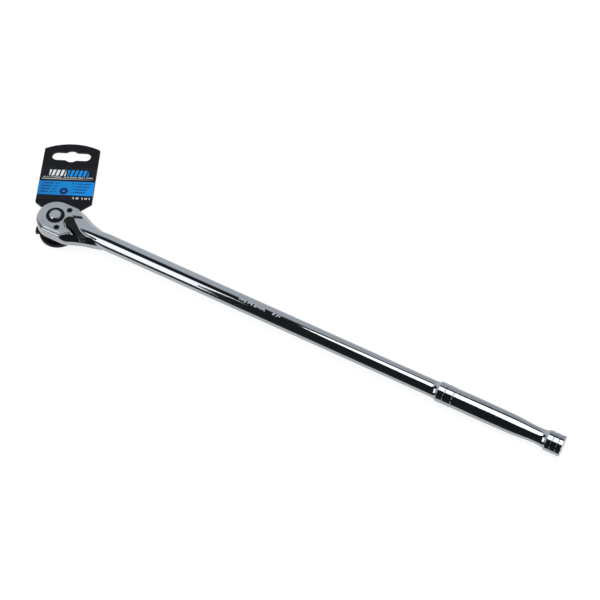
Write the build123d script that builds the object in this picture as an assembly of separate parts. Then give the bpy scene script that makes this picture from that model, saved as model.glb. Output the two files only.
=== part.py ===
"""Long-handled reversible ratchet, 3/8 inch square drive, with its hang tag.

Units are millimetres. +Z is up through the release button, +X runs along the
shaft to the end of the handle, and the origin lies on the drive axis in the
end face of the drive square.
"""
from build123d import *
from math import cos, radians, sin
import os

# ---------------------------------------------------------------- driving sizes
# Drive square and gear
SQUARE = 9.525              # 3/8 inch drive, across flats
SQUARE_LENGTH = 11.4
SQUARE_CORNER_R = 6.3       # radius of the circle that rounds the square's corners
DRIVE_TURN = 25.0           # degrees, the way the square and the tag are turned at rest
TEETH = 72
GEAR_TIP_R = 8.7
GEAR_ROOT_R = 8.25
GEAR_BOTTOM = 13.7
GEAR_TOP = 20.2
JOURNAL_R = 6.5             # lower bearing of the gear in the body
HUB_R = 5.7                 # upper hub of the gear, round the button
HUB_TOP = 22.9
RING_TOP = 23.8             # black ring round the button

# Head
HEAD_R = 15.8
HEAD_BOTTOM = 11.4
HEAD_TOP = 21.4             # top of the body, under the cover plate
HEAD_EDGE_R = 1.5
CHEEK_END = 12.5            # where the straight cheeks turn into the neck
GEAR_BORE_R = 8.95
GEAR_FLOOR = 13.6
RUN = 0.06                  # running clearance, radial

# Cover plate
PLATE_TOP = 23.2
PLATE_R = 14.0
PLATE_HOLE_R = 7.6
SCREW_X = 7.4
SCREW_Y = 9.7
SCREW_HEAD_R = 2.3
SCREW_SHANK_R = 1.25
SCREW_BOTTOM = 15.2

# Pawl and reversing lever
LEVER_X = 14.1              # axis of the lever from the drive axis
LEVER_REST = -30.5          # degrees from the shaft; it swings as far to the other side
POST_R = 2.8
POST_BOTTOM = 13.3
PAWL_BOTTOM = 13.75
PAWL_TOP = 19.3
PAWL_ROCK = 4.0             # degrees each side of the middle
PAWL_CENTRE_X = 11.5
PAWL_ROOF = 19.5            # ceiling of the pawl's pocket
CLIP_Z = 20.25              # wire ring that holds the post
CLIP_GROOVE = 0.6
LEVER_SEAL_Z = 21.1
PLUNGER_Z = 16.7
PLUNGER_R = 0.8

# Quick release
BUTTON_R = 4.8
BUTTON_TOP = 24.9
BUTTON_BOTTOM = 21.0
BUTTON_WELL = 15.6          # floor of the well that holds the button's spring
PIN_R = 2.1
PIN_BOTTOM = 3.5
PIN_BORE_R = 2.2
PIN_BORE_FLOOR = 1.1
BALL_R = 1.5
BALL_Z = 5.7
BALL_PROUD = 0.55

# Shaft and handle
SHAFT_Z = 17.25
SHAFT_R_HEAD = 7.05
SHAFT_R_HANDLE = 6.7
SHAFT_START = 22.0          # root of the round neck, inside the head
NECK_ROOT_R = 3.95
NECK_END = 50.0
HANDLE_START = 337.8
HANDLE_END = 443.6
TANG_R = 5.0
TANG_END = 430.0

# Hang tag
TAG_THICK = 2.2
TAG_HALF_WIDTH = 23.5
TAG_SHOULDER = 29.3
TAG_CORNER = 87.0
TAG_PEAK = 92.0
TAG_NECK_HALF = 13.5
TAG_NECK_TOP = 21.2
TAG_DISC_R = 15.6
TAG_DISC_THICK = 3.2
TAG_SOCKET_R = 8.4
TAG_SOCKET_TOP = 10.6
TAG_FIT = 0.12              # gap each side of the square in the tag's socket
TAG_EAR_REACH = 18.5
TAG_EAR_WIDTH = 5.4
SLOT_WIDTH = 33.0
SLOT_HEIGHT = 9.4
SLOT_BUMP_R = 6.5
SLOT_V = 79.0
LABEL_THICK = 0.15
LABEL_LOW = 31.5
LABEL_HIGH = 66.5
LABEL_HALF_WIDTH = 23.3


# ---------------------------------------------------------------- small helpers
def disc(radius, low, high, x=0.0, y=0.0):
    """Upright cylinder between two heights."""
    return Pos(x, y, (low + high) / 2) * Cylinder(radius, high - low)


def block(x0, x1, y0, y1, z0, z1):
    """Box given by its two corners."""
    centre = Pos((x0 + x1) / 2, (y0 + y1) / 2, (z0 + z1) / 2)
    return centre * Box(x1 - x0, y1 - y0, z1 - z0)


def ring(outer, inner, low, high):
    """Flat ring between two heights."""
    return disc(outer, low, high) - disc(inner, low - 1, high + 1)


def plate_of(points, low, high):
    """Prism on a closed outline of straight sides."""
    face = make_face(Polyline(*points, close=True))
    return Pos(0, 0, low) * extrude(face, high - low)


def polar(radius, angle, x=0.0):
    """Point at a radius and an angle in degrees from a centre on the X axis."""
    return (x + radius * cos(radians(angle)), radius * sin(radians(angle)))


def gear_prism(tip, root, tip_half, root_half, low, high):
    """Ring of straight-sided teeth; the half widths are in degrees."""
    pitch = 360 / TEETH
    points = []
    for tooth in range(TEETH):
        middle = tooth * pitch
        points.append(polar(tip, middle - tip_half))
        points.append(polar(tip, middle + tip_half))
        points.append(polar(root, middle + pitch / 2 - root_half))
        points.append(polar(root, middle + pitch / 2 + root_half))
    return plate_of(points, low, high)


def turned(face):
    """Solid turned on the shaft's axis, with its seam line underneath."""
    axis = Axis((0, 0, SHAFT_Z), (1, 0, 0))
    return revolve(face, axis, 360).rotate(axis, 180)


def coil(radius, wire, low, high, turns):
    """Round-wire compression spring standing on the origin's axis."""
    height = high - low - wire
    path = Helix(height / turns, height, radius)
    section = Plane(path @ 0, z_dir=path % 0) * Circle(wire / 2)
    return Pos(0, 0, low + wire / 2) * sweep(section, path=path)


# ---------------------------------------------------------------- head and shaft
def head_outline():
    """Head and neck seen from above: round front, cheeks and hollow flanks."""
    flank = [(CHEEK_END, HEAD_R), (18.0, 15.2), (22.6, 13.3), (28.0, 11.0), (37.0, 8.5),
             (46.0, 6.0), (54.0, 3.2)]
    mirrored = [(x, -y) for x, y in flank]
    front = ThreePointArc((0, HEAD_R), (-HEAD_R, 0), (0, -HEAD_R))
    parts = [
        front,
        Line((0, -HEAD_R), mirrored[0]),
        Spline(*mirrored, tangents=[(1, 0), (1, 0.3)]),
        Line(mirrored[-1], flank[-1]),
        Spline(*flank[::-1], tangents=[(-1, 0.3), (-1, 0)]),
        Line(flank[0], (0, HEAD_R)),
    ]
    return make_face(Wire([edge for part in parts for edge in part.edges()]))


def head_blank():
    """Flat forging of head and neck with rounded rims."""
    blank = Pos(0, 0, HEAD_BOTTOM) * extrude(head_outline(), HEAD_TOP - HEAD_BOTTOM)
    rims = [e for e in blank.edges() if abs(e.center().Z - HEAD_TOP) < 0.01]
    rims += [e for e in blank.edges() if abs(e.center().Z - HEAD_BOTTOM) < 0.01]
    outer = [e for e in rims if abs(e.center().X - 54.0) > 0.01]
    return fillet(outer, HEAD_EDGE_R)


def neck_bevel():
    """Cutter for the sloping flank above the wall on the +Y side of the neck."""
    stations = [
        (10.5, 16.9, 18.9), (13.0, 14.7, 17.0), (18.0, 11.0, 15.4), (23.0, 8.7, 13.4),
        (29.0, 6.2, 10.5), (38.0, 4.8, 8.5), (46.0, 4.1, 6.5), (56.0, 3.2, 4.6),
    ]
    bevel_foot = 16.9
    above = HEAD_TOP + 2.0
    sections = []
    for x, top, foot in stations:
        slope = (foot - top) / (HEAD_TOP - bevel_foot)
        inner = top - slope * (above - HEAD_TOP)
        outer = foot + slope
        corners = [(x, inner, above), (x, outer + 3.0, above), (x, outer + 3.0, bevel_foot - 1.0),
                   (x, outer, bevel_foot - 1.0)]
        sections.append(make_face(Polyline(*corners, close=True)))
    return loft(sections, ruled=True)


def shaft():
    """Round neck, shaft and the tang inside the handle."""
    neck_line = Spline(
        (SHAFT_START, 0, SHAFT_Z + NECK_ROOT_R), (27.0, 0, SHAFT_Z + 4.85),
        (33.0, 0, SHAFT_Z + 5.65), (41.0, 0, SHAFT_Z + 6.45),
        (NECK_END, 0, SHAFT_Z + SHAFT_R_HEAD), tangents=[(1, 0, 0.15), (1, 0, 0)],
    )
    tang_start = HANDLE_START - 0.1
    rest = Polyline(
        (NECK_END, 0, SHAFT_Z + SHAFT_R_HEAD), (tang_start, 0, SHAFT_Z + SHAFT_R_HANDLE),
        (tang_start, 0, SHAFT_Z + TANG_R), (TANG_END - 1.0, 0, SHAFT_Z + TANG_R),
        (TANG_END, 0, SHAFT_Z + TANG_R - 1.0), (TANG_END, 0, SHAFT_Z), (SHAFT_START, 0, SHAFT_Z),
        (SHAFT_START, 0, SHAFT_Z + NECK_ROOT_R),
    )
    face = make_face(Wire([*neck_line.edges(), *rest.edges()]))
    return turned(face)


def pawl_pocket():
    """Undercut beside the gear's bore in which the pawl rocks."""
    pocket = block(5.0, 13.4, -7.0, 7.0, GEAR_FLOOR, PAWL_ROOF)
    return fillet(pocket.edges().filter_by(Axis.Z), 1.0)


def ratchet_body():
    """Forged head, neck and shaft with the machined cavities."""
    bevel = neck_bevel()
    body = head_blank() - bevel - mirror(bevel, Plane.XZ) + shaft()
    body -= disc(GEAR_BORE_R, GEAR_FLOOR, HEAD_TOP + 1)
    body -= disc(JOURNAL_R + RUN, HEAD_BOTTOM - 1, GEAR_FLOOR + 1)
    body -= disc(7.35, 12.1, 13.1)
    body -= pawl_pocket()
    body -= disc(POST_R + RUN, POST_BOTTOM - 0.2, HEAD_TOP + 2, LEVER_X)
    half_groove = CLIP_GROOVE / 2
    body -= disc(POST_R + 0.55, CLIP_Z - half_groove, CLIP_Z + half_groove, LEVER_X)
    body -= disc(POST_R + 0.62, LEVER_SEAL_Z - 0.27, HEAD_TOP + 1, LEVER_X)
    for side in (1, -1):
        body -= disc(SCREW_SHANK_R + 0.03, SCREW_BOTTOM - 0.6, HEAD_TOP + 1, SCREW_X, side * SCREW_Y)
    return body


def plate_outline():
    """Cover plate's outline: round front, straight cheeks and the rear notch."""
    corner = (15.0, 12.9)
    horn = (20.0, 9.0)
    notch = (12.6, 6.1)
    throat = polar(5.0, 180 - 62, LEVER_X)
    front = ThreePointArc((1.0, PLATE_R - 0.04), (-PLATE_R, 0), (1.0, -PLATE_R + 0.04))
    lower = Polyline((1.0, -PLATE_R + 0.04), (12.4, -13.35), (corner[0], -corner[1]),
                     (horn[0], -horn[1]), (notch[0], -notch[1]), (throat[0], -throat[1]))
    seat = ThreePointArc((throat[0], -throat[1]), (LEVER_X - 5.0, 0), throat)
    upper = Polyline(throat, notch, horn, corner, (12.4, 13.35), (1.0, PLATE_R - 0.04))
    return make_face(Wire([*front.edges(), *lower.edges(), *seat.edges(), *upper.edges()]))


def cover_plate():
    """Stamped cover with countersunk screw holes and a broken top edge."""
    plate = Pos(0, 0, HEAD_TOP) * extrude(plate_outline(), PLATE_TOP - HEAD_TOP)
    top = plate.faces().sort_by(Axis.Z)[-1]
    plate = chamfer(top.outer_wire().edges(), 0.45)
    plate -= disc(PLATE_HOLE_R, HEAD_TOP - 1, PLATE_TOP + 1)
    for side in (1, -1):
        plate -= disc(SCREW_SHANK_R + 0.2, HEAD_TOP - 1, PLATE_TOP + 1, SCREW_X, side * SCREW_Y)
        sink = Pos(SCREW_X, side * SCREW_Y, PLATE_TOP - 0.55) * Cone(
            SCREW_HEAD_R - 0.95, SCREW_HEAD_R + 0.15, 1.1
        )
        plate -= sink
    return plate


def cover_screws():
    """Two countersunk socket screws that hold the cover plate."""
    screws = []
    for side in (1, -1):
        head = Pos(0, 0, PLATE_TOP - 0.62) * Cone(SCREW_HEAD_R - 1.05, SCREW_HEAD_R - 0.05, 1.0)
        head += disc(SCREW_HEAD_R - 0.05, PLATE_TOP - 0.12, PLATE_TOP - 0.02)
        shank = disc(SCREW_SHANK_R, SCREW_BOTTOM, PLATE_TOP - 0.9)
        socket = Pos(0, 0, PLATE_TOP - 0.9) * extrude(RegularPolygon(1.0, 6), 1.5)
        screws.append(Pos(SCREW_X, side * SCREW_Y, 0) * (head + shank - socket))
    return Compound(screws)


# ---------------------------------------------------------------- drive and release
def ball_radius_out():
    """Distance of the locked ball's centre from the drive axis."""
    return SQUARE / 2 + BALL_PROUD - BALL_R


def drive_gear():
    """Toothed drive with its journal, its square and the release's bores."""
    gear = gear_prism(GEAR_TIP_R, GEAR_ROOT_R, 0.55, 0.55, GEAR_BOTTOM, GEAR_TOP)
    gear += disc(HUB_R, GEAR_TOP - 1, HUB_TOP)
    gear += disc(JOURNAL_R, SQUARE_LENGTH, GEAR_BOTTOM + 1)
    square = block(-SQUARE / 2, SQUARE / 2, -SQUARE / 2, SQUARE / 2, 0, SQUARE_LENGTH + 0.5)
    square = square & disc(SQUARE_CORNER_R, 0, SQUARE_LENGTH + 0.5)
    square = chamfer(square.faces().sort_by(Axis.Z)[0].edges(), 0.6)
    seat = Rot(0, 90, 0) * Pos(0, 0, 2.5) * Cylinder(BALL_R + 0.05, 4.2)
    mouth = Rot(0, 90, 0) * Pos(0, 0, 4.9) * Cylinder(1.37, 1.0)
    square -= Pos(0, 0, BALL_Z) * (seat + mouth)
    gear += Rot(0, 0, DRIVE_TURN) * square
    gear -= disc(PIN_BORE_R, PIN_BORE_FLOOR, HUB_TOP + 1)
    gear -= disc(BUTTON_R + 0.07, BUTTON_WELL, HUB_TOP + 1)
    seat_cut = Rot(0, 0, DRIVE_TURN) * Pos(0, 0, BALL_Z) * seat
    return gear - seat_cut


def release_button():
    """Round button with a broken edge and a socket for the pin."""
    button = disc(BUTTON_R, BUTTON_BOTTOM, BUTTON_TOP)
    button = chamfer(button.faces().sort_by(Axis.Z)[-1].edges(), 0.7)
    return button - disc(1.5, BUTTON_BOTTOM - 1, BUTTON_BOTTOM + 1.8)


def release_pin():
    """Pin whose waist lets the ball drop in when the button is pressed."""
    profile = [
        (0, PIN_BOTTOM), (PIN_R - 0.3, PIN_BOTTOM), (PIN_R, PIN_BOTTOM + 0.3), (PIN_R, BALL_Z),
        (1.0, BALL_Z + 1.5), (1.0, BALL_Z + 3.6), (PIN_R, BALL_Z + 4.4), (PIN_R, 19.6),
        (1.5, 19.9), (1.5, BUTTON_BOTTOM + 1.7), (0, BUTTON_BOTTOM + 1.7),
    ]
    face = make_face(Polyline(*[(r, 0, z) for r, z in profile], close=True))
    return revolve(face, Axis.Z, 360)


def detent_ball():
    """Ball that holds a socket on the square."""
    return Rot(0, 0, DRIVE_TURN) * Pos(ball_radius_out(), 0, BALL_Z) * Sphere(BALL_R)


def release_spring():
    """Spring that lifts the button, round the pin."""
    return coil(3.3, 0.6, BUTTON_WELL + 0.02, BUTTON_BOTTOM - 0.02, 4)


def drive_seal():
    """O-ring round the journal at the bottom of the head."""
    return Pos(0, 0, 12.6) * Torus(JOURNAL_R + 0.44, 0.38)


def thrust_washer():
    """Washer between the gear and the cover plate."""
    return ring(8.6, HUB_R + 0.1, GEAR_TOP + 0.05, HEAD_TOP - 0.35)


def dust_ring():
    """Black ring that closes the gap between the hub and the cover plate."""
    body = ring(PLATE_HOLE_R - 0.03, HUB_R + RUN, HEAD_TOP - 0.3, RING_TOP)
    body += ring(HUB_R + 1.0, BUTTON_R + 0.32, HUB_TOP + 0.3, RING_TOP)
    rim = body.faces().sort_by(Axis.Z)[-1].outer_wire().edges()
    return chamfer(rim, 0.35)


# ---------------------------------------------------------------- pawl and lever
def pawl():
    """Double-ended pawl; its teeth are the gear's, cut all the way through its rock."""
    blank = block(6.3, 12.6, -6.3, 6.3, PAWL_BOTTOM, PAWL_TOP)
    blank = fillet(blank.edges().filter_by(Axis.Z), 0.7)
    blank -= disc(3.55, PAWL_BOTTOM - 1, PAWL_TOP + 1, LEVER_X)
    cutter = gear_prism(GEAR_TIP_R + 0.07, GEAR_ROOT_R + 0.07, 0.95, 0.15, 13, 21)
    centre = Pos(PAWL_CENTRE_X, 0, 0)
    cuts = 8
    for cut in range(cuts + 1):
        angle = PAWL_ROCK * (2 * cut / cuts - 1)
        blank -= centre * Rot(0, 0, angle) * Pos(-PAWL_CENTRE_X, 0, 0) * cutter
    middle = blank.solids().sort_by(lambda s: s.volume)[-1]
    return centre * Rot(0, 0, PAWL_ROCK) * Pos(-PAWL_CENTRE_X, 0, 0) * middle


def at_lever(shape):
    """Place a shape made along +X from the origin onto the lever at rest."""
    return Pos(LEVER_X, 0, 0) * Rot(0, 0, LEVER_REST) * shape


def selector_post():
    """Post under the lever, cross-drilled for the plunger and its spring."""
    post = disc(POST_R, POST_BOTTOM, 24.4)
    post = chamfer(post.faces().sort_by(Axis.Z)[0].edges(), 0.3)
    post -= Rot(0, 90, 0) * Pos(-PLUNGER_Z, 0, -1.2) * Cylinder(PLUNGER_R + 0.05, 4.4)
    half_groove = CLIP_GROOVE / 2
    post -= ring(POST_R + 1, POST_R - 0.5, CLIP_Z - half_groove, CLIP_Z + half_groove)
    flats = block(-4, 4, 1.9, 4, 22.6, 26) + block(-4, 4, -4, -1.9, 22.6, 26)
    return at_lever(post - flats)


def lever_clip():
    """Wire ring that holds the post in the body."""
    wire = Torus(POST_R + 0.02, 0.26)
    gap = block(-5, 5, 0, 5, -1, 1)
    gap = Rot(0, 0, -45) * (gap & disc(5, -1, 1) & block(0, 5, 0, 5, -1, 1))
    return Pos(LEVER_X, 0, CLIP_Z) * (wire - gap)


def lever_seal():
    """O-ring under the lever's hub."""
    return Pos(LEVER_X, 0, LEVER_SEAL_Z) * Torus(POST_R + 0.34, 0.26)


def lever_outline():
    """Lever seen from above: round hub, tapering arm and rounded thumb end."""
    hub_r, shoulder, waist, thumb_r = 4.0, 2.8, 2.1, 2.9
    reach = 25.2
    thumb_x = reach - 4.6
    leave = 60
    outline = [
        ThreePointArc(polar(hub_r, leave), (-hub_r, 0), polar(hub_r, -leave)),
        Spline(polar(hub_r, -leave), (7.0, -shoulder), (14.0, -waist), (thumb_x, -thumb_r),
               tangents=[(1, 0.25), (1, -0.12)]),
        Spline((thumb_x, -thumb_r), (reach, 0), (thumb_x, thumb_r),
               tangents=[(1, -0.12), (-1, -0.12)]),
        Spline((thumb_x, thumb_r), (14.0, waist), (7.0, shoulder), polar(hub_r, leave),
               tangents=[(-1, -0.12), (-1, 0.25)]),
    ]
    return make_face(Wire([edge for part in outline for edge in part.edges()]))


def reverse_lever():
    """Moulded lever: low hub, arm over the neck and a raised thumb end."""
    side_view = [
        (-5, 21.65), (5.2, 21.65), (8.5, 23.4), (28, 23.9), (28, 27.4), (22.5, 27.2),
        (18.0, 25.6), (6.5, 25.3), (3.5, 25.0), (-5, 24.8),
    ]
    section = make_face(Polyline(*[(x, 0, z) for x, z in side_view], close=True))
    cut = extrude(section, 6, dir=(0, 1, 0), both=True)
    body = Pos(0, 0, 20) * extrude(lever_outline(), 9)
    body = body & cut
    body -= block(-1.98, 1.98, -1.98, 1.98, 22.55, 24.42) & disc(POST_R + 0.02, 22, 25)
    body -= disc(POST_R + 0.02, 21, 22.62)
    body -= block(-POST_R, POST_R, -1.92, 1.92, 22.55, 24.42) & disc(POST_R + 0.02, 22, 25)
    return at_lever(body)


def pawl_plunger():
    """Round-nosed plunger that pushes the back of the pawl."""
    stem = Rot(0, 90, 0) * Pos(-PLUNGER_Z, 0, -1.95) * Cylinder(PLUNGER_R, 0.9)
    nose = Pos(-2.4, 0, PLUNGER_Z) * Sphere(PLUNGER_R)
    return at_lever(stem + nose)


def pawl_spring():
    """Small spring behind the plunger, inside the post."""
    spring = coil(0.58, 0.24, -1.45, 0.85, 4)
    return at_lever(Pos(0, 0, PLUNGER_Z) * Rot(0, 90, 0) * spring)


# ---------------------------------------------------------------- handle
def handle_grip():
    """Turned handle, pushed on the tang, with its collars and banded end."""
    collar, groove = 8.1, 7.5
    cove = Spline(
        (HANDLE_START, 0, SHAFT_Z + SHAFT_R_HANDLE), (340.9, 0, SHAFT_Z + 7.05),
        (342.7, 0, SHAFT_Z + collar - 0.15), tangents=[(1, 0, 0.05), (1, 0, 0.7)],
    )
    front = [
        (342.7, collar - 0.15), (343.0, collar), (347.75, collar), (348.35, groove),
        (348.95, collar), (354.65, collar), (355.25, groove), (355.7, 7.9),
    ]
    barrel = Spline(
        (355.7, 0, SHAFT_Z + 7.9), (372, 0, SHAFT_Z + 7.95), (391, 0, SHAFT_Z + 7.8),
        (407.5, 0, SHAFT_Z + 7.4), (422.3, 0, SHAFT_Z + 6.45),
        tangents=[(1, 0, 0), (1, 0, 0.0)],
    )
    cap, cap_groove = 8.2, 7.6
    flare = Spline(
        (422.3, 0, SHAFT_Z + 6.45), (427.0, 0, SHAFT_Z + 6.6), (429.6, 0, SHAFT_Z + 7.15),
        (431.2, 0, SHAFT_Z + cap - 0.15), tangents=[(1, 0, 0), (1, 0, 0.8)],
    )
    end = [
        (431.2, cap - 0.15), (431.5, cap), (435.05, cap), (435.65, cap_groove),
        (436.25, cap), (439.55, cap), (440.15, cap_groove), (440.75, cap),
        (HANDLE_END - 0.3, cap), (HANDLE_END, cap - 0.3),
    ]
    front_line = Polyline(*[(x, 0, SHAFT_Z + r) for x, r in front])
    end_line = Polyline(*[(x, 0, SHAFT_Z + r) for x, r in end])
    close = Polyline(
        (HANDLE_END, 0, SHAFT_Z + cap - 0.3), (HANDLE_END, 0, SHAFT_Z),
        (TANG_END + 0.5, 0, SHAFT_Z), (TANG_END + 0.5, 0, SHAFT_Z + TANG_R + 0.02),
        (HANDLE_START, 0, SHAFT_Z + TANG_R + 0.02), (HANDLE_START, 0, SHAFT_Z + SHAFT_R_HANDLE),
    )
    parts = [cove, front_line, barrel, flare, end_line, close]
    face = make_face(Wire([edge for part in parts for edge in part.edges()]))
    return turned(face)


# ---------------------------------------------------------------- hang tag
def at_tag(shape):
    """Turn a shape made with the tag along +Y to where the tag lies."""
    return Rot(0, 0, DRIVE_TURN) * shape


def tag_outline():
    """Tag seen from above, from the disc out to the arched top."""
    w, neck_w = TAG_HALF_WIDTH, TAG_NECK_HALF
    top = ThreePointArc((w - 1.0, TAG_CORNER), (0, TAG_PEAK), (-w + 1.0, TAG_CORNER))
    left = Polyline((-w + 1.0, TAG_CORNER), (-w, TAG_CORNER - 1.0), (-w, TAG_SHOULDER),
                    (-neck_w, TAG_NECK_TOP), (-neck_w, 0))
    right = Polyline((neck_w, 0), (neck_w, TAG_NECK_TOP), (w, TAG_SHOULDER),
                     (w, TAG_CORNER - 1.0), (w - 1.0, TAG_CORNER))
    bottom = Line((-neck_w, 0), (neck_w, 0))
    parts = [top, left, bottom, right]
    return make_face(Wire([edge for part in parts for edge in part.edges()]))


def hang_slot():
    """Display-hook slot: a long round-ended slot with a round swelling."""
    slot = Pos(0, SLOT_V, -1) * extrude(SlotOverall(SLOT_WIDTH, SLOT_HEIGHT), TAG_THICK + 2)
    return slot + disc(SLOT_BUMP_R, -1, TAG_THICK + 1, 0, SLOT_V)


def hang_tag():
    """Moulded tag: plate, disc with two ears, and the socket on the square."""
    tag = extrude(tag_outline(), TAG_THICK)
    tag += disc(TAG_DISC_R, 0, TAG_DISC_THICK)
    tag += block(-TAG_EAR_REACH, TAG_EAR_REACH, -TAG_EAR_WIDTH / 2, TAG_EAR_WIDTH / 2, 0, TAG_DISC_THICK)
    tag += disc(TAG_SOCKET_R, 0, TAG_SOCKET_TOP)
    tag -= hang_slot()
    half = SQUARE / 2 + TAG_FIT
    tag -= block(-half, half, -half, half, -1, TAG_SOCKET_TOP + 1)
    tag -= block(0, SQUARE / 2 + BALL_PROUD + 0.35, -1.7, 1.7, -1, TAG_SOCKET_TOP + 1)
    return at_tag(tag)


def tag_label():
    """Printed label on the tag's face."""
    w = LABEL_HALF_WIDTH
    points = [(-w, LABEL_LOW), (w, LABEL_LOW), (w, LABEL_HIGH), (-w, LABEL_HIGH)]
    label = plate_of(points, TAG_THICK, TAG_THICK + LABEL_THICK)
    return at_tag(fillet(label.edges().filter_by(Axis.Z), 0.8))


# ---------------------------------------------------------------- writing
MAKERS = [
    ratchet_body, handle_grip, cover_plate, cover_screws, dust_ring, thrust_washer,
    drive_gear, drive_seal, detent_ball, release_button, release_pin, release_spring,
    pawl, pawl_plunger, pawl_spring, selector_post, lever_clip, lever_seal, reverse_lever,
    hang_tag, tag_label,
]

os.makedirs("parts", exist_ok=True)
for maker in MAKERS:
    export_step(maker(), f"parts/{maker.__name__}.step")
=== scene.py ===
"""Finishes of a long-handled reversible ratchet and its hang tag, with the stage they lie on.

The tool's parts come from the frame, in metres: the shaft runs along +X, +Z is up through
the release button, and the tag points along +Y turned by the drive's angle.
"""

from math import pi, radians, tan

import bmesh
import bpy
from mathutils import Matrix, Quaternion, Vector

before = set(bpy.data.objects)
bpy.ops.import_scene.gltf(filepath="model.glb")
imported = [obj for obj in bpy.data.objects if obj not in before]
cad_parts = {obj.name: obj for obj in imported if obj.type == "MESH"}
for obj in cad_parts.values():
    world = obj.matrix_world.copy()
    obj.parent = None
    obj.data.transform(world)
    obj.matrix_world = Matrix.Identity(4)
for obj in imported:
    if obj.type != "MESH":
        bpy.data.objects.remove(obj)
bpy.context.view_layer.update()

bl_info = {
    "name": "Long ratchet finishes",
    "version": (1, 0, 0),
    "blender": (4, 5, 0),
    "location": "3D View > Sidebar > Ratchet",
    "description": "Chrome, black parts, printed tag and studio for a long-handled ratchet",
    "category": "Object",
}

MM = 0.001
MICRON = 0.000001
TAG_TURN = radians(25.0)        # the way the drive square and the tag are turned
SHAFT_HEIGHT = 17.25 * MM       # the shaft's axis above the square's end face

# ------------------------------------------------------------------ marks on the shaft, in mm
MARK_ROWS = ((171.0, 194.0), (200.5, 207.5))    # the two groups' spans along the shaft
MARK_LOW = -2.7                 # the strokes' span across the shaft
MARK_HIGH = -0.4
MARK_SHORTEST = -1.6            # where the shortest stroke begins
MARK_PITCH = 1.15
MARK_LEAN = -0.35               # the strokes' slant
MARK_GAPS = 0.15                # share of the strokes left out

# ------------------------------------------------------------------ label, in mm
# u runs across the tag and v runs along it, away from the drive axis.
PRINT_EDGE = 21.0               # small print reaches this far to each side
BAND = (37.0, 51.5)             # the blue band's span along v
TEXT_ROWS = 4                   # rows of small print on the band
TEXT_TOP = 48.6                 # where the highest of them begins
TEXT_STEP = 3.0
TEXT_HEIGHT = 1.5
LEFT_TEXT_END = -7.5
RIGHT_TEXT_START = 4.5
SYMBOL_PLACE = (-1.4, 41.2, 2.3)
SYMBOL_R = 3.5
SYMBOL_HOLE_R = 1.0
BARS = (57.2, 63.6)             # the bold bars' span along v
BAR_PITCH = 3.6
BAR_LEAN = -0.22
LEFT_BARS = (-16.0, -2.0)
RIGHT_BARS = (-0.6, 17.0)

# ------------------------------------------------------------------ stage, in metres
FLOOR_PIVOT = 18.0 * MM         # where along the shaft the sloping floor is at height 0
FLOOR_HALF = 3.0                # half of the floor's side
CARD_ENDS = (-1.0, 0.5)         # the dark card's two ends along the shaft
CARD_LIFT = 1.0 * MM            # how far it lies above the floor
FLOOR_GLOW = (0.60, 0.84)       # the floor's own light, in reflections and to the camera

# Soft boxes: place, direction, roll and size
NEAR_BOX = ((-0.84, -1.142, 0.862), (0, 1.142, -0.845), radians(-2.5), (1.0, 1.54))
HIGH_BOX = ((0.545, 0.079, 1.517), (0, -0.079, -1.5), 0.0, (1.42, 1.42))

# Room, as shares of the world's brightness
WALL_LIGHT = (0.80, 0.56)       # the wall behind the tool, at the tag's side and at the handle's
WALL_FOOT = (radians(19.0), radians(46.0))      # how far the wall leans, at the same two sides
ROOM_DARK = 0.035
SIDE_LIGHT = 0.60


# ------------------------------------------------------------------ settings
def colour_property(name, description, default):
    """Colour setting shown as a swatch."""
    return bpy.props.FloatVectorProperty(
        name=name, description=description, subtype="COLOR", size=3, min=0, max=1, default=default
    )


def share_property(name, description, default):
    """Setting from nothing to all."""
    return bpy.props.FloatProperty(
        name=name, description=description, subtype="FACTOR", min=0, max=1, default=default
    )


class RatchetChromeSettings(bpy.types.PropertyGroup):
    """Colours and polish of the bright metal."""

    chrome: colour_property("Chrome", "Tint of the chrome plating", (0.465, 0.490, 0.525))
    polish: share_property("Polish roughness", "Roughness of the polished shaft", 0.02)
    plate: colour_property("Cover plate", "Tint of the satin plate", (0.55, 0.57, 0.60))
    plate_satin: share_property("Satin roughness", "Roughness of the satin plate", 0.30)
    steel: colour_property("Bare steel", "Tint of the unplated steel parts", (0.42, 0.41, 0.40))


class RatchetBlackSettings(bpy.types.PropertyGroup):
    """Colours of the black parts."""

    lever: colour_property("Lever", "Colour of the moulded lever", (0.006, 0.006, 0.007))
    ring: colour_property("Button ring", "Colour of the nylon ring", (0.005, 0.005, 0.006))
    oxide: colour_property("Screws", "Colour of the blackened screws", (0.016, 0.016, 0.020))
    phosphate: colour_property("Gear", "Colour of the phosphated gear", (0.060, 0.060, 0.064))


class RatchetTagSettings(bpy.types.PropertyGroup):
    """Colours and print of the hang tag."""

    plastic: colour_property("Tag plastic", "Colour of the moulded tag", (0.005, 0.0055, 0.008))
    film: colour_property("Label black", "Background of the printed label", (0.006, 0.008, 0.013))
    band: colour_property("Band", "Colour of the label's wide band", (0.004, 0.34, 0.95))
    ink: colour_property("Dark ink", "Small print on the band", (0.003, 0.030, 0.120))
    white: colour_property("White ink", "White print", (0.95, 0.96, 0.98))


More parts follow.
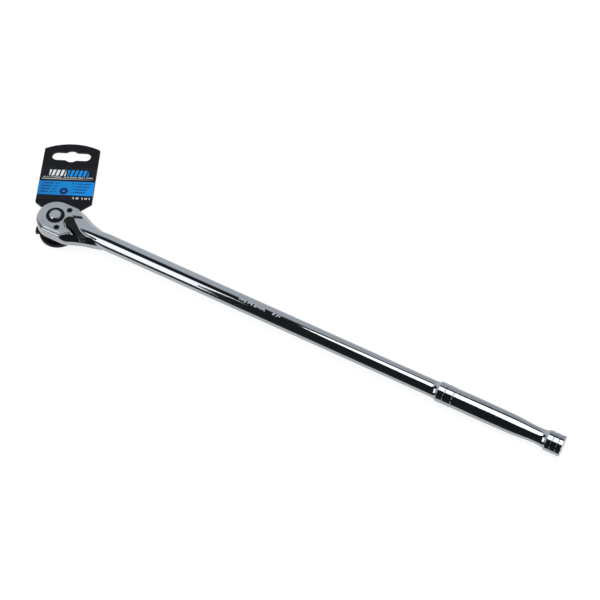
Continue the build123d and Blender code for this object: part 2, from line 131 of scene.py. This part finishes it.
class RatchetStageSettings(bpy.types.PropertyGroup):
    """Floor, light and camera."""

    floor: colour_property("Floor", "Colour of the pale floor", (0.30, 0.30, 0.30))
    tilt: bpy.props.FloatProperty(
        name="Floor slope", description="Slope of the floor from the tag to the end cap",
        unit="ROTATION", default=radians(1.23),
    )
    glow: bpy.props.FloatProperty(
        name="Soft box strength", description="Brightness of the two soft boxes", min=0, default=2.0,
    )
    card: bpy.props.FloatVectorProperty(
        name="Card distances", description="How far in front of the shaft the card's two ends begin",
        unit="LENGTH", size=2, default=(125.5 * MM, 13.0 * MM),
    )
    lens: bpy.props.FloatProperty(
        name="Lens", description="Focal length on a 36 mm sensor", unit="CAMERA", default=96.0,
    )
    eye: bpy.props.FloatVectorProperty(
        name="Camera place", description="Where the camera stands", subtype="TRANSLATION",
        unit="LENGTH", size=3, default=(0.54236, -0.60180, 1.05030),
    )
    gaze: bpy.props.FloatVectorProperty(
        name="Camera direction", description="Where the camera looks", subtype="DIRECTION",
        size=3, default=(-0.26444, 0.49959, -0.82491),
    )
    roll: bpy.props.FloatProperty(
        name="Camera roll", description="Turn of the camera about its own view", unit="ROTATION",
        default=radians(0.294),
    )


# ------------------------------------------------------------------ finish helper
class Wiring:
    """Short ways to add and wire the nodes of a tree."""

    def __init__(self, tree, place):
        self.tree = tree
        self.place = self.node("ShaderNodeTexCoord").outputs[place]

    def node(self, kind, **settings):
        """New node with its settings."""
        made = self.tree.nodes.new(kind)
        for key, value in settings.items():
            setattr(made, key, value)
        return made

    def plug(self, socket, value):
        """Wire an output into an input, or set the input's own value."""
        if isinstance(value, bpy.types.NodeSocket):
            self.tree.links.new(value, socket)
        else:
            socket.default_value = value

    def sum(self, operation, a, b=0.0):
        """One step of arithmetic."""
        made = self.node("ShaderNodeMath", operation=operation)
        self.plug(made.inputs[0], a)
        self.plug(made.inputs[1], b)
        return made.outputs[0]

    def fit(self, value, low, high, to_low=0.0, to_high=1.0, smooth=False):
        """Stretch a value's span onto another, held at the ends."""
        made = self.node("ShaderNodeMapRange")
        made.interpolation_type = "SMOOTHSTEP" if smooth else "LINEAR"
        self.plug(made.inputs["Value"], value)
        made.inputs["From Min"].default_value = low
        made.inputs["From Max"].default_value = high
        made.inputs["To Min"].default_value = to_low
        made.inputs["To Max"].default_value = to_high
        return made.outputs["Result"]

    def axis(self, vector, index):
        """One coordinate of a vector."""
        made = self.node("ShaderNodeSeparateXYZ")
        self.plug(made.inputs[0], vector)
        return made.outputs[index]


class Finish(Wiring):
    """A named material with one Principled shader and short ways to pattern it."""

    def __init__(self, name, colour, metallic, roughness, specular=0.5):
        self.material = bpy.data.materials.new(name)
        self.material.use_nodes = True
        super().__init__(self.material.node_tree, "Object")
        self.shader = self.tree.nodes["Principled BSDF"]
        self.shader.inputs["Base Color"].default_value = (*colour, 1)
        self.shader.inputs["Metallic"].default_value = metallic
        self.shader.inputs["Roughness"].default_value = roughness
        self.shader.inputs["Specular IOR Level"].default_value = specular

    def turned(self, angle=0.0, scale=(1.0, 1.0, 1.0), shift=(0.0, 0.0, 0.0)):
        """Object coordinates moved, turned about Z and stretched."""
        made = self.node("ShaderNodeMapping", vector_type="POINT")
        self.plug(made.inputs["Vector"], self.place)
        made.inputs["Rotation"].default_value = (0, 0, angle)
        made.inputs["Scale"].default_value = scale
        made.inputs["Location"].default_value = shift
        return made.outputs[0]

    def noise(self, scale, detail=2.0, stretch=(1.0, 1.0, 1.0)):
        """Noise whose features are 1/scale metres across, stretched per axis."""
        made = self.node("ShaderNodeTexNoise")
        self.plug(made.inputs["Vector"], self.turned(scale=stretch))
        made.inputs["Scale"].default_value = scale
        made.inputs["Detail"].default_value = detail
        return made.outputs["Fac"]

    def mix(self, share, a, b):
        """Colour between two colours."""
        made = self.node("ShaderNodeMix", data_type="RGBA")
        self.plug(made.inputs["Factor"], share)
        self.plug(made.inputs["A"], a if isinstance(a, bpy.types.NodeSocket) else (*a, 1))
        self.plug(made.inputs["B"], b if isinstance(b, bpy.types.NodeSocket) else (*b, 1))
        return made.outputs["Result"]

    def colour(self, value):
        """Wire the shader's colour."""
        self.plug(self.shader.inputs["Base Color"], value)

    def rough(self, value):
        """Wire the shader's roughness."""
        self.plug(self.shader.inputs["Roughness"], value)

    def relief(self, height, microns):
        """Bump of a depth in microns, on top of what is already there."""
        made = self.node("ShaderNodeBump")
        made.inputs["Strength"].default_value = 1.0
        made.inputs["Distance"].default_value = microns * MICRON
        self.plug(made.inputs["Height"], height)
        normal = self.shader.inputs["Normal"]
        if normal.is_linked:
            self.plug(made.inputs["Normal"], normal.links[0].from_socket)
        self.plug(normal, made.outputs["Normal"])

    def between(self, value, low, high):
        """One inside a span and nothing outside."""
        middle = self.sum("ABSOLUTE", self.sum("SUBTRACT", value, (low + high) / 2))
        return self.sum("LESS_THAN", middle, (high - low) / 2)

    def rectangle(self, u, v, left, right, low, high):
        """One inside a rectangle of the label."""
        return self.sum("MULTIPLY", self.between(u, left, right), self.between(v, low, high))


def dress(finish, *names):
    """Give a finish to parts of the frame."""
    for name in names:
        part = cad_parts[name]
        for slot in part.material_slots:
            slot.material = finish.material


# ------------------------------------------------------------------ bright metal
def polished_chrome(name, tint, roughness):
    """Mirror chrome over a forging: faint waviness, buffing lines and handling smears."""
    chrome = Finish(name, tint, 1.0, roughness)
    smears = chrome.fit(chrome.noise(70, 4.0), 0.45, 0.75, roughness, roughness + 0.04, True)
    buffing = chrome.noise(2600, 3.0, (0.03, 1.0, 1.0))
    chrome.rough(chrome.sum("ADD", smears, chrome.fit(buffing, 0.3, 0.8, 0.0, 0.03)))
    chrome.relief(chrome.noise(170, 1.0), 12.0)
    chrome.relief(buffing, 1.2)
    shade = chrome.fit(chrome.noise(28, 2.0), 0.3, 0.7)
    darker = tuple(0.93 * part for part in tint)
    chrome.colour(chrome.mix(shade, darker, tint))
    return chrome


def stamp_marks(chrome):
    """Rows of small stamped strokes on top of the shaft, dull against the polish, coloured paler than
    the chrome as a painted highlight.
    """
    along = chrome.sum("MULTIPLY", chrome.axis(chrome.place, 0), 1 / MM)
    across = chrome.sum("MULTIPLY", chrome.axis(chrome.place, 1), 1 / MM)
    leaning = chrome.sum("ADD", along, chrome.sum("MULTIPLY", across, MARK_LEAN))
    cell = chrome.sum("DIVIDE", leaning, MARK_PITCH)
    dice = chrome.node("ShaderNodeTexWhiteNoise", noise_dimensions="1D")
    chrome.plug(dice.inputs["W"], chrome.sum("FLOOR", cell))
    chance = dice.outputs["Value"]
    stroke = chrome.sum("LESS_THAN", chrome.sum("FRACT", cell), 0.5)
    stroke = chrome.sum("MULTIPLY", stroke, chrome.sum("GREATER_THAN", chance, MARK_GAPS))
    low = chrome.fit(chance, MARK_GAPS, 1.0, MARK_LOW, MARK_SHORTEST)
    stroke = chrome.sum("MULTIPLY", stroke, chrome.sum("GREATER_THAN", across, low))
    rows = chrome.sum("ADD", *(chrome.between(along, *row) for row in MARK_ROWS))
    patch = chrome.sum("MULTIPLY", rows, chrome.between(across, MARK_LOW, MARK_HIGH))
    top = chrome.sum("GREATER_THAN", chrome.axis(chrome.place, 2), SHAFT_HEIGHT)
    stamp = chrome.sum("MULTIPLY", chrome.sum("MULTIPLY", patch, top), stroke)
    polish = chrome.shader.inputs["Roughness"].links[0].from_socket
    chrome.rough(chrome.sum("ADD", polish, chrome.sum("MULTIPLY", stamp, 0.5)))
    plating = chrome.shader.inputs["Base Color"].links[0].from_socket
    # Painted highlight: the strokes are real marks, but their pale colour stands for the light they
    # catch, not a colour of their own.
    chrome.colour(chrome.mix(stamp, plating, (0.85, 0.87, 0.90)))
    chrome.relief(chrome.sum("SUBTRACT", 1.0, stamp), 60.0)


def satin_plate(tint, roughness):
    """Satin chrome of the stamped cover plate, with short straight grain."""
    plate = Finish("satin_plate", tint, 1.0, roughness)
    grain = plate.noise(3200, 3.0, (0.05, 1.0, 1.0))
    plate.rough(plate.fit(grain, 0.25, 0.75, roughness - 0.06, roughness + 0.08))
    plate.relief(grain, 3.0)
    plate.relief(plate.noise(420, 2.0), 6.0)
    mottled = plate.fit(plate.noise(150, 3.0), 0.35, 0.65)
    darker = tuple(0.90 * part for part in tint)
    plate.colour(plate.mix(mottled, darker, tint))
    return plate


def turned_chrome(tint, roughness):
    """Button chrome with the rings a lathe leaves."""
    chrome = Finish("turned_button", tint, 1.0, roughness)
    out = chrome.node("ShaderNodeVectorMath", operation="LENGTH")
    chrome.plug(out.inputs[0], chrome.turned(scale=(1, 1, 0)))
    rings = chrome.sum("SINE", chrome.sum("MULTIPLY", out.outputs["Value"], 2 * pi / (0.22 * MM)))
    chrome.relief(rings, 0.8)
    chrome.rough(chrome.fit(chrome.noise(500, 2.0), 0.3, 0.7, roughness, roughness + 0.08))
    return chrome


def oiled_steel(tint):
    """Unplated ground steel under a film of oil."""
    steel = Finish("oiled_steel", tint, 1.0, 0.25)
    grind = steel.noise(4200, 2.0, (1.0, 1.0, 0.08))
    steel.relief(grind, 2.0)
    steel.rough(steel.fit(steel.noise(900, 3.0), 0.3, 0.7, 0.18, 0.34))
    stain = steel.fit(steel.noise(240, 3.0), 0.5, 0.8)
    steel.colour(steel.mix(stain, tint, (0.30, 0.25, 0.20)))
    return steel


# ------------------------------------------------------------------ black parts
def moulded_nylon(name, tint, roughness):
    """Moulded black nylon: fine spark grain and slightly paler rubbed spots."""
    nylon = Finish(name, tint, 0.0, roughness, 0.2)
    grain = nylon.noise(5200, 2.0)
    nylon.relief(grain, 8.0)
    nylon.relief(nylon.noise(600, 1.0), 15.0)
    rubbed = nylon.fit(nylon.noise(320, 4.0), 0.55, 0.8)
    paler = tuple(part + 0.006 for part in tint)
    nylon.colour(nylon.mix(rubbed, tint, paler))
    nylon.rough(nylon.fit(nylon.noise(900, 2.0), 0.3, 0.7, roughness - 0.05, roughness + 0.08))
    return nylon


def black_oxide(name, tint, roughness, wear):
    """Blackened or phosphated steel with worn specks."""
    oxide = Finish(name, tint, 0.75, roughness)
    specks = oxide.fit(oxide.noise(2400, 4.0), 0.62, 0.78, 0.0, wear)
    oxide.colour(oxide.mix(specks, tint, (0.28, 0.28, 0.29)))
    oxide.rough(oxide.fit(oxide.noise(1500, 3.0), 0.3, 0.7, roughness - 0.08, roughness + 0.12))
    oxide.relief(oxide.noise(3000, 3.0), 6.0)
    return oxide


def seal_rubber():
    """Matt rubber of the two O-rings."""
    rubber = Finish("seal_rubber", (0.014, 0.014, 0.014), 0.0, 0.62)
    rubber.relief(rubber.noise(3500, 3.0), 10.0)
    bloom = rubber.fit(rubber.noise(700, 3.0), 0.5, 0.8)
    rubber.colour(rubber.mix(bloom, (0.012, 0.012, 0.012), (0.045, 0.045, 0.045)))
    return rubber


# ------------------------------------------------------------------ hang tag
def tag_plastic(tint):
    """Moulded tag: satin black with a fine grain and a few scuffs."""
    plastic = Finish("tag_plastic", tint, 0.0, 0.42, 0.18)
    plastic.relief(plastic.noise(4300, 2.0), 6.0)
    plastic.relief(plastic.noise(120, 1.0), 30.0)
    scuffs = plastic.noise(1500, 3.0, (0.12, 1.0, 1.0))
    paler = tuple(part + 0.015 for part in tint)
    plastic.colour(plastic.mix(plastic.fit(scuffs, 0.62, 0.80, 0.0, 0.6), tint, paler))
    plastic.rough(plastic.fit(plastic.noise(380, 3.0), 0.3, 0.7, 0.36, 0.52))
    return plastic


def small_print(label, u, v, left, right, low, high, cell, seed):
    """Row of small dashes of uneven height, with gaps, that stands for small print."""
    count = label.sum("FLOOR", label.sum("DIVIDE", u, cell))
    dice = label.node("ShaderNodeTexWhiteNoise", noise_dimensions="1D")
    label.plug(dice.inputs["W"], label.sum("ADD", count, seed))
    chance = dice.outputs["Value"]
    across = label.sum("FRACT", label.sum("DIVIDE", u, cell))
    dash = label.sum("MULTIPLY", label.sum("LESS_THAN", across, 0.72),
                     label.sum("GREATER_THAN", chance, 0.16))
    top = label.fit(chance, 0.0, 1.0, low + 0.72 * (high - low), high)
    dash = label.sum("MULTIPLY", dash, label.sum("LESS_THAN", v, top))
    return label.sum("MULTIPLY", dash, label.rectangle(u, v, left, right, low, high))


def slanted_bars(label, u, v, left, right):
    """Block of bold slanted bars."""
    leaning = label.sum("ADD", label.sum("SUBTRACT", u, left), label.sum("MULTIPLY", v, BAR_LEAN))
    across = label.sum("FRACT", label.sum("DIVIDE", leaning, BAR_PITCH))
    return label.sum("MULTIPLY", label.sum("LESS_THAN", across, 0.66),
                     label.rectangle(u, v, left, right, *BARS))


def band_print(label, u, v, paint, ink):
    """Rows of small print on the band, in two columns; the right one is ragged."""
    for row in range(TEXT_ROWS):
        low = TEXT_TOP - TEXT_STEP * row
        high = low + TEXT_HEIGHT
        right_end = PRINT_EDGE - 1.5 * row
        left_text = small_print(label, u, v, -PRINT_EDGE, LEFT_TEXT_END, low, high, 1.1, 7.0 + row)
        right_text = small_print(label, u, v, RIGHT_TEXT_START, right_end, low, high, 0.9, 31.0 + row)
        paint = label.mix(left_text, paint, ink)
        paint = label.mix(right_text, paint, ink)
    return paint


def round_symbol(label, sheet, paint, settings):
    """Dark disc with a hole in the band's colour."""
    offset = label.node("ShaderNodeVectorMath", operation="DISTANCE")
    label.plug(offset.inputs[0], sheet)
    offset.inputs[1].default_value = SYMBOL_PLACE
    away = offset.outputs["Value"]
    paint = label.mix(label.sum("LESS_THAN", away, SYMBOL_R), paint, settings.ink)
    return label.mix(label.sum("LESS_THAN", away, SYMBOL_HOLE_R), paint, settings.band)


def printed_label(settings):
    """Film label: bold bars above, a wide band with small print, and a round symbol."""
    label = Finish("printed_label", settings.film, 0.0, 0.32, 0.22)
    sheet = label.turned(-TAG_TURN, (1 / MM, 1 / MM, 1 / MM))
    u = label.axis(sheet, 0)
    v = label.axis(sheet, 1)
    deep = tuple(0.72 * part for part in settings.band)
    blue = label.mix(label.fit(u, -20.0, 22.0), deep, settings.band)
    paint = label.mix(label.between(v, *BAND), settings.film, blue)
    paint = band_print(label, u, v, paint, settings.ink)
    paint = round_symbol(label, sheet, paint, settings)
    paint = label.mix(slanted_bars(label, u, v, *LEFT_BARS), paint, settings.white)
    paint = label.mix(slanted_bars(label, u, v, *RIGHT_BARS), paint, settings.band)
    thin = small_print(label, u, v, -PRINT_EDGE, PRINT_EDGE, 55.2, 56.5, 0.85, 3.0)
    paint = label.mix(label.sum("MULTIPLY", thin, 0.8), paint, settings.white)
    rule = label.rectangle(u, v, -21.5, 21.5, 53.6, 54.2)
    rule = label.sum("MULTIPLY", rule, label.fit(u, -5.0, 21.0, 0.9, 0.1))
    paint = label.mix(rule, paint, settings.white)
    foot = small_print(label, u, v, 6.7, 22.4, 33.2, 35.2, 1.2, 53.0)
    label.colour(label.mix(foot, paint, settings.white))
    label.relief(label.noise(260, 2.0), 20.0)
    label.rough(label.fit(label.noise(900, 2.0), 0.3, 0.7, 0.26, 0.40))
    return label


# ------------------------------------------------------------------ stage parts
def aim(thing, place, direction, roll):
    """Stand a light or the camera at a place, looking along a direction, and roll it."""
    thing.location = place
    thing.rotation_mode = "QUATERNION"
    level = Vector(direction).to_track_quat("-Z", "Y")
    thing.rotation_quaternion = level @ Quaternion((0, 0, 1), roll)
    bpy.context.scene.collection.objects.link(thing)


def soft_box(name, shape, radiance, place, direction, roll, size):
    """Area light of a brightness, seen in the chrome but not by the camera."""
    lamp = bpy.data.lights.new(name, "AREA")
    lamp.shape = shape
    lamp.size, lamp.size_y = size
    lamp.energy = radiance * size[0] * size[1] * pi
    box = bpy.data.objects.new(name, lamp)
    box.visible_camera = False
    aim(box, place, direction, roll)


def dark_card(settings):
    """Dark card lying in front of the tool, seen in the chrome only: it ends the floor there."""
    mesh = bpy.data.meshes.new("dark_card")
    shape = bmesh.new()
    left, right = CARD_ENDS
    left_gap, right_gap = settings.card
    outline = [(left, -FLOOR_HALF), (right, -FLOOR_HALF), (right, -right_gap), (left, -left_gap)]
    corners = [(x, y, CARD_LIFT + (x - FLOOR_PIVOT) * tan(settings.tilt)) for x, y in outline]
    shape.faces.new([shape.verts.new(corner) for corner in corners])
    shape.to_mesh(mesh)
    shape.free()
    card = bpy.data.objects.new("dark_card", mesh)
    bpy.context.scene.collection.objects.link(card)
    paint = Finish("card_black", (0.02, 0.02, 0.02), 0.0, 0.8, 0.1)
    paint.rough(paint.fit(paint.noise(20, 2.0), 0.3, 0.7, 0.75, 0.85))
    mesh.materials.append(paint.material)
    card.visible_camera = False
    card.visible_shadow = False
    card.visible_diffuse = False


def pale_floor(settings):
    """Large floor under the tag and the end cap."""
    mesh = bpy.data.meshes.new("floor")
    shape = bmesh.new()
    bmesh.ops.create_grid(shape, x_segments=1, y_segments=1, size=FLOOR_HALF)
    pivot = Vector((FLOOR_PIVOT, 0, 0))
    slope = Matrix.Rotation(-settings.tilt, 4, "Y")
    bmesh.ops.transform(shape, matrix=Matrix.Translation(pivot) @ slope, verts=shape.verts)
    shape.to_mesh(mesh)
    shape.free()
    floor = bpy.data.objects.new("floor", mesh)
    bpy.context.scene.collection.objects.link(floor)
    paint = Finish("pale_floor", settings.floor, 0.0, 0.7)
    paint.shader.inputs["Emission Color"].default_value = (1, 1, 1, 1)
    seen = paint.node("ShaderNodeLightPath").outputs["Is Camera Ray"]
    paint.plug(paint.shader.inputs["Emission Strength"], paint.fit(seen, 0.0, 1.0, *FLOOR_GLOW))
    paint.rough(paint.fit(paint.noise(40, 3.0), 0.3, 0.7, 0.65, 0.75))
    mesh.materials.append(paint.material)


def room_light():
    """World that is pale to the camera; in reflections, grey walls round a dark room."""
    world = bpy.data.worlds.new("room")
    world.use_nodes = True
    bpy.context.scene.world = world
    room = Wiring(world.node_tree, "Generated")
    across = room.axis(room.place, 0)
    slope = room.fit(across, -0.30, -0.10, *(tan(angle) for angle in WALL_FOOT))
    lean = room.sum("MULTIPLY", room.axis(room.place, 2), slope)
    behind = room.sum("SUBTRACT", room.axis(room.place, 1), lean)
    edge = room.fit(behind, -0.07, 0.07, ROOM_DARK, 1.0, True)
    wall = room.sum("MULTIPLY", edge, room.fit(across, -0.35, -0.10, *WALL_LIGHT))
    sideways = room.sum("ABSOLUTE", across)
    sides = room.fit(sideways, 0.62, 0.78, 0.0, SIDE_LIGHT, True)
    background = world.node_tree.nodes["Background"]
    background.inputs["Color"].default_value = (0.90, 0.95, 1.0, 1)
    room.plug(background.inputs["Strength"], room.sum("MAXIMUM", wall, sides))
    pale = room.node("ShaderNodeBackground")
    pale.inputs["Color"].default_value = (1, 1, 1, 1)
    choice = room.node("ShaderNodeMixShader")
    room.plug(choice.inputs["Fac"], room.node("ShaderNodeLightPath").outputs["Is Camera Ray"])
    room.plug(choice.inputs[1], background.outputs[0])
    room.plug(choice.inputs[2], pale.outputs[0])
    room.plug(world.node_tree.nodes["World Output"].inputs["Surface"], choice.outputs[0])


# ------------------------------------------------------------------ operators
class RATCHET_OT_bright_metal(bpy.types.Operator):
    """Chrome the forging and the handle, and satin the cover plate"""

    bl_idname = "ratchet.bright_metal"
    bl_label = "Bright metal"

    def execute(self, context):
        settings = context.scene.ratchet_chrome
        forging = polished_chrome("forged_chrome", settings.chrome, settings.polish)
        stamp_marks(forging)
        dress(forging, "ratchet_body")
        dress(polished_chrome("grip_chrome", settings.chrome, settings.polish), "handle_grip")
        dress(satin_plate(settings.plate, settings.plate_satin), "cover_plate")
        dress(turned_chrome(settings.chrome, 0.12), "release_button")
        return {"FINISHED"}


class RATCHET_OT_steel_works(bpy.types.Operator):
    """Finish the steel parts inside the head"""

    bl_idname = "ratchet.steel_works"
    bl_label = "Steel works"

    def execute(self, context):
        bright = context.scene.ratchet_chrome
        black = context.scene.ratchet_black
        dress(
            oiled_steel(bright.steel), "thrust_washer", "detent_ball", "release_pin",
            "release_spring", "pawl_plunger", "pawl_spring", "selector_post", "lever_clip",
        )
        dress(black_oxide("phosphated_gear", black.phosphate, 0.42, 0.35), "drive_gear", "pawl")
        return {"FINISHED"}


class RATCHET_OT_black_parts(bpy.types.Operator):
    """Finish the lever, the button's ring, the screws and the seals"""

    bl_idname = "ratchet.black_parts"
    bl_label = "Black parts"

    def execute(self, context):
        settings = context.scene.ratchet_black
        dress(moulded_nylon("lever_nylon", settings.lever, 0.30), "reverse_lever")
        dress(moulded_nylon("ring_nylon", settings.ring, 0.38), "dust_ring")
        dress(black_oxide("blackened_screws", settings.oxide, 0.34, 0.5), "cover_screws")
        dress(seal_rubber(), "drive_seal", "lever_seal")
        return {"FINISHED"}


class RATCHET_OT_hang_tag(bpy.types.Operator):
    """Finish the moulded tag and print its label"""

    bl_idname = "ratchet.hang_tag"
    bl_label = "Hang tag"

    def execute(self, context):
        settings = context.scene.ratchet_tag
        dress(tag_plastic(settings.plastic), "hang_tag")
        dress(printed_label(settings), "tag_label")
        return {"FINISHED"}


class RATCHET_OT_stage(bpy.types.Operator):
    """Set the camera, the pale floor and the soft light"""

    bl_idname = "ratchet.stage"
    bl_label = "Stage"

    def execute(self, context):
        settings = context.scene.ratchet_stage
        eye = bpy.data.objects.new("camera", bpy.data.cameras.new("camera"))
        eye.data.sensor_width = 36.0
        eye.data.lens = settings.lens
        eye.data.clip_start = 0.05
        eye.data.clip_end = 20.0
        aim(eye, settings.eye, settings.gaze, settings.roll)
        context.scene.camera = eye
        context.scene.view_settings.view_transform = "Standard"
        pale_floor(settings)
        room_light()
        dark_card(settings)
        soft_box("near_box", "RECTANGLE", settings.glow, *NEAR_BOX)
        soft_box("high_box", "ELLIPSE", settings.glow, *HIGH_BOX)
        return {"FINISHED"}


class RATCHET_PT_panel(bpy.types.Panel):
    """Panel that lists the ratchet's operators and settings"""

    bl_idname = "RATCHET_PT_panel"
    bl_label = "Ratchet"
    bl_space_type = "VIEW_3D"
    bl_region_type = "UI"
    bl_category = "Ratchet"

    def draw(self, context):
        layout = self.layout
        for operator in OPERATORS:
            layout.operator(operator.bl_idname)
        scene = context.scene
        for group in (scene.ratchet_chrome, scene.ratchet_black, scene.ratchet_tag, scene.ratchet_stage):
            box = layout.box()
            for key in group.__annotations__:
                box.prop(group, key)


SETTINGS = {
    "ratchet_chrome": RatchetChromeSettings,
    "ratchet_black": RatchetBlackSettings,
    "ratchet_tag": RatchetTagSettings,
    "ratchet_stage": RatchetStageSettings,
}
OPERATORS = (
    RATCHET_OT_stage,
    RATCHET_OT_bright_metal,
    RATCHET_OT_steel_works,
    RATCHET_OT_black_parts,
    RATCHET_OT_hang_tag,
)


def register():
    """Add the settings, the operators and the panel."""
    for key, group in SETTINGS.items():
        bpy.utils.register_class(group)
        setattr(bpy.types.Scene, key, bpy.props.PointerProperty(type=group))
    for operator in OPERATORS:
        bpy.utils.register_class(operator)
    bpy.utils.register_class(RATCHET_PT_panel)


def unregister():
    """Take them away again."""
    bpy.utils.unregister_class(RATCHET_PT_panel)
    for operator in reversed(OPERATORS):
        bpy.utils.unregister_class(operator)
    for key, group in SETTINGS.items():
        delattr(bpy.types.Scene, key)
        bpy.utils.unregister_class(group)


def main():
    """Build the looks."""
    register()
    for operator in OPERATORS:
        group, name = operator.bl_idname.split(".")
        getattr(getattr(bpy.ops, group), name)()


if __name__ == "__main__":
    main()
